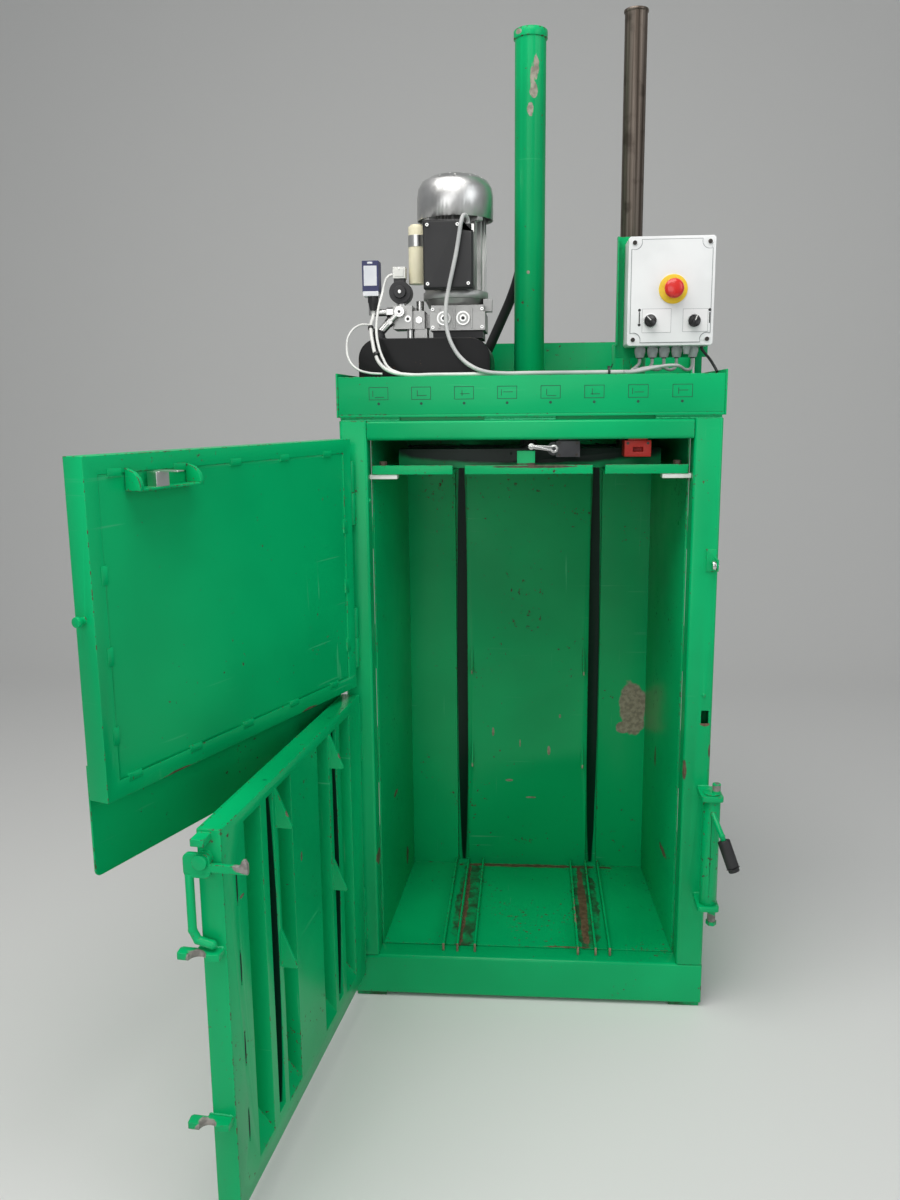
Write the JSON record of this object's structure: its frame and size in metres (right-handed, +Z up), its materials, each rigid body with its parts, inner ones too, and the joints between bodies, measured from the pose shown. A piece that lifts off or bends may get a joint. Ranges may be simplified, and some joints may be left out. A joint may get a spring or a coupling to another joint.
{
  "type": "recycling baler",
  "caption": "Upright hydraulic recycling baler with a tall loading chamber, split side-hung doors standing open, a top cylinder with guide rod, a power pack and a control box.",
  "frame": {"origin": "on the floor under the middle of the front face of the two front posts", "axes": "+Z up, +X to the right as the operator sees it, +Y from the loading side to the back"},
  "size_m": [1.1649, 1.3646, 2.249],
  "materials": {
    "green_paint": "semi-gloss",
    "black_paint": "semi-gloss",
    "cast_aluminium": "satin",
    "bare_rod": "satin",
    "bright_steel": "satin",
    "black_plastic": "matt",
    "grey_plastic": "matt",
    "cream_plastic": "matt",
    "blue_plastic": "matt",
    "red_plastic": "gloss",
    "yellow_plastic": "gloss",
    "nylon": "matt",
    "cable_sheath": "matt",
    "hose_rubber": "matt"
  },
  "bodies": {
    "frame": {"sill": "green_paint", "post_left": "green_paint", "post_right": "green_paint", "head_beam": "green_paint", "side_wall_left": "green_paint", "side_wall_right": "green_paint", "back_wall": "green_paint", "rear_posts": "green_paint", "back_rails": "green_paint", "base_frame": "green_paint", "floor_plate": "green_paint", "floor_bars": "green_paint", "deck_plate": "green_paint", "front_apron": "green_paint", "rear_plate": "green_paint", "end_plates": "green_paint", "press_cylinder": "green_paint", "cylinder_flange": "green_paint", "guide_sleeve": "green_paint", "tank": "black_paint", "filler_cap": "black_plastic", "pump_block": "cast_aluminium", "motor": "cast_aluminium", "motor_cowl": "cast_aluminium", "terminal_box": "black_plastic", "capacitor": "cream_plastic", "manifold": "cast_aluminium", "solenoid": "black_plastic", "relief_valve": "cast_aluminium", "pressure_switch": "blue_plastic", "control_bracket": "green_paint", "control_box": "grey_plastic", "control_cover": "grey_plastic", "glands": "grey_plastic", "estop_ring": "yellow_plastic", "limit_switch": "cast_aluminium", "interlock_switch": "red_plastic", "motor_cable": "cable_sheath", "signal_cables": "cable_sheath", "gland_cables": "cable_sheath", "pressure_hose": "hose_rubber"},
    "press": {"platen": "green_paint", "slide_pads": "nylon", "piston_rod": "bright_steel", "guide_rod": "bare_rod"},
    "lower_door": {"lower_door": "green_paint", "lower_panel": "green_paint"},
    "latch": {"latch_lever": "green_paint"},
    "upper_door": {"upper_door": "green_paint", "upper_sheet": "green_paint", "upper_flap": "green_paint", "key_bracket": "green_paint"},
    "lock": {"lock_shaft": "green_paint", "lock_grip": "black_plastic"},
    "limit_lever": {"limit_lever": "bright_steel"},
    "estop_button": {"estop_button": "red_plastic"},
    "knob_left": {"knob_left": "black_plastic"},
    "knob_right": {"knob_right": "black_plastic"},
    "rotor": {"motor_rotor": "bright_steel"},
    "roller": {"catch_roller": "bright_steel"}
  },
  "joints": [
    {"name": "press_slide", "type": "slide", "parent": "frame", "child": "press", "axis": [0, 0, 1], "range_m": [-0.69, 0]},
    {"name": "lower_door_hinge", "type": "hinge", "parent": "frame", "child": "lower_door", "pos_m": [-0.387, -0.014, 0.4], "axis": [0, 0, 1], "range_deg": [-33, 97]},
    {"name": "upper_door_hinge", "type": "hinge", "parent": "frame", "child": "upper_door", "pos_m": [-0.387, -0.014, 1.05], "axis": [0, 0, 1], "range_deg": [-38.2, 112.1]},
    {"name": "latch_pivot", "type": "hinge", "parent": "lower_door", "child": "latch", "pos_m": [-0.49794, -0.78624, 0.716], "axis": [-0.1219, -0.9925, 0], "range_deg": [-4, 4]},
    {"name": "lock_turn", "type": "hinge", "parent": "frame", "child": "lock", "pos_m": [0.4085, -0.045, 0.4], "axis": [0, 0, 1], "range_deg": [0, 110]},
    {"name": "limit_lever_pivot", "type": "hinge", "parent": "frame", "child": "limit_lever", "pos_m": [0.055, 0.024, 1.304], "axis": [0, 1, 0], "range_deg": [0, 8], "stiffness_Nm_per_rad": 0.3, "springref_deg": -11.46},
    {"name": "estop_push", "type": "slide", "parent": "frame", "child": "estop_button", "axis": [0, 1, 0], "range_m": [0, 0.005]},
    {"name": "knob_left_turn", "type": "hinge", "parent": "frame", "child": "knob_left", "pos_m": [0.255, 0.03, 1.57], "axis": [0, -1, 0], "range_deg": [-90, 0]},
    {"name": "knob_right_turn", "type": "hinge", "parent": "frame", "child": "knob_right", "pos_m": [0.3465, 0.03, 1.5685], "axis": [0, -1, 0], "range_deg": [-30, 60]},
    {"name": "rotor_spin", "type": "hinge", "parent": "frame", "child": "rotor", "pos_m": [-0.168, 0.205, 1.7], "axis": [0, 0, 1], "continuous": true},
    {"name": "roller_spin", "type": "hinge", "parent": "frame", "child": "roller", "pos_m": [0.398, -0.02, 1.056], "axis": [1, 0, 0], "continuous": true}
  ],
  "couplings": [
    {"joint": "upper_door_hinge", "follows": "lower_door_hinge", "ratio": 1.1546}
  ]
}
